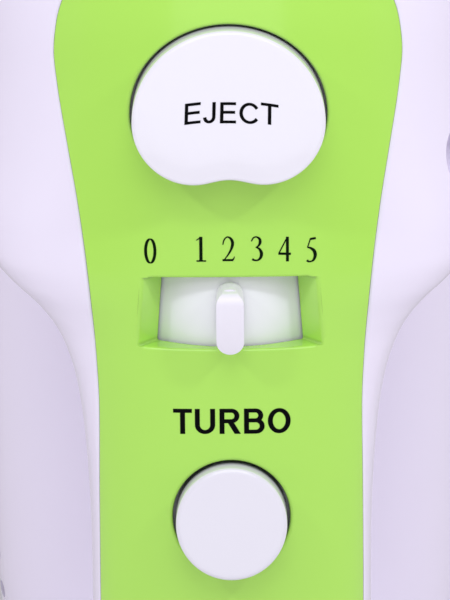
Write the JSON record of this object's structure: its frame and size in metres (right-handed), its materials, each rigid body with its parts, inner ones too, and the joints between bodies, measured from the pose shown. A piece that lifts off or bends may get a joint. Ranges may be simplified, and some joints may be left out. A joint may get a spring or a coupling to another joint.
{
  "type": "hand mixer",
  "caption": "Electric hand mixer with a closed handle, a glossy green control panel, a worm-driven gear pair and two ejectable wire beaters, standing on its heel.",
  "frame": {"origin": "middle of the flat underside of the heel pad that the mixer stands on, at the level of that face", "axes": "+Z from the heel to the nose, -Y out of the top of the handle where the controls are, +Y the way the beaters point, +X to the right of someone looking at the controls"},
  "size_m": [0.0883, 0.3005, 0.2003],
  "materials": {
    "shell_white": "smooth moulded white ABS with a faint cool tint",
    "panel_green": "high gloss lime green",
    "pad_rubber": "soft matt rubber",
    "screw_steel": "turned and plated steel",
    "grommet_dark": "dark moulded plastic",
    "gear_grey": "light grey moulded plastic",
    "stack_iron": "stacked laminations",
    "winding_copper": "lacquered copper wire",
    "bearing_brass": "sintered bronze",
    "brush_carbon": "pressed carbon",
    "nylon_cream": "natural nylon",
    "beater_chrome": "polished chrome plate"
  },
  "bodies": {
    "root": {"left_shell": "shell_white", "right_shell": "shell_white", "top_panel": "panel_green", "heel_pad": "pad_rubber", "shell_screw_1": "screw_steel", "shell_screw_2": "screw_steel", "shell_screw_3": "screw_steel", "shell_screw_4": "screw_steel", "shell_screw_5": "screw_steel", "shell_screw_6": "screw_steel", "cord_inlet": "grommet_dark", "stator_core": "stack_iron", "field_coil_left": "winding_copper", "field_coil_right": "winding_copper", "rear_bridge": "grommet_dark", "front_bridge": "grommet_dark", "rear_bearing": "bearing_brass", "front_bearing": "bearing_brass", "brush_holder_left": "bearing_brass", "brush_left": "brush_carbon", "brush_holder_right": "bearing_brass", "brush_right": "brush_carbon", "gear_frame": "gear_grey", "nose_bearing": "bearing_brass", "gear_cover": "gear_grey", "socket_plate": "gear_grey", "eject_spring": "screw_steel", "turbo_spring": "screw_steel", "turbo_switch": "grommet_dark", "speed_switch": "grommet_dark"},
    "rotor": {"armature_shaft": "screw_steel", "armature_core": "stack_iron", "armature_winding": "winding_copper", "commutator": "winding_copper", "cooling_fan": "nylon_cream"},
    "left_drive": {"left_spindle": "screw_steel", "left_worm_wheel": "nylon_cream"},
    "right_drive": {"right_spindle": "screw_steel", "right_worm_wheel": "nylon_cream"},
    "left_whisk": {"left_beater": "beater_chrome"},
    "right_whisk": {"right_beater": "beater_chrome"},
    "ejector": {"eject_button": "shell_white", "ejector_fork": "nylon_cream"},
    "selector": {"speed_drum": "shell_white", "speed_knob": "shell_white"},
    "turbo": {"turbo_button": "shell_white"}
  },
  "joints": [
    {"name": "motor_spin", "type": "hinge", "parent": "root", "child": "rotor", "pos_m": [0, 0.03, 0.074], "axis": [0, 0, 1], "continuous": true},
    {"name": "left_spindle_spin", "type": "hinge", "parent": "root", "child": "left_drive", "pos_m": [-0.0205, 0.03, 0.157], "axis": [0, 1, 0], "continuous": true},
    {"name": "right_spindle_spin", "type": "hinge", "parent": "root", "child": "right_drive", "pos_m": [0.0205, 0.03, 0.157], "axis": [0, 1, 0], "continuous": true},
    {"name": "eject_press", "type": "slide", "parent": "root", "child": "ejector", "axis": [0, 1, 0], "range_m": [0, 0.007], "stiffness_N_per_m": 500, "springref_m": -0.003, "deforming": ["eject_spring"]},
    {"name": "left_beater_eject", "type": "slide", "parent": "left_drive", "child": "left_whisk", "axis": [0, 1, 0], "range_m": [0, 0.007]},
    {"name": "right_beater_eject", "type": "slide", "parent": "right_drive", "child": "right_whisk", "axis": [0, 1, 0], "range_m": [0, 0.007]},
    {"name": "speed_select", "type": "hinge", "parent": "root", "child": "selector", "pos_m": [0, -0.0484, 0.124], "axis": [0, 0, 1], "range_deg": [-24, 24]},
    {"name": "turbo_press", "type": "slide", "parent": "root", "child": "turbo", "axis": [0, 1, 0], "range_m": [0, 0.0025], "stiffness_N_per_m": 700, "springref_m": -0.001, "deforming": ["turbo_spring"]}
  ],
  "couplings": [
    {"joint": "left_spindle_spin", "follows": "motor_spin", "ratio": 0.066667},
    {"joint": "right_spindle_spin", "follows": "motor_spin", "ratio": -0.066667},
    {"joint": "left_beater_eject", "follows": "eject_press", "ratio": 1},
    {"joint": "right_beater_eject", "follows": "eject_press", "ratio": 1}
  ]
}
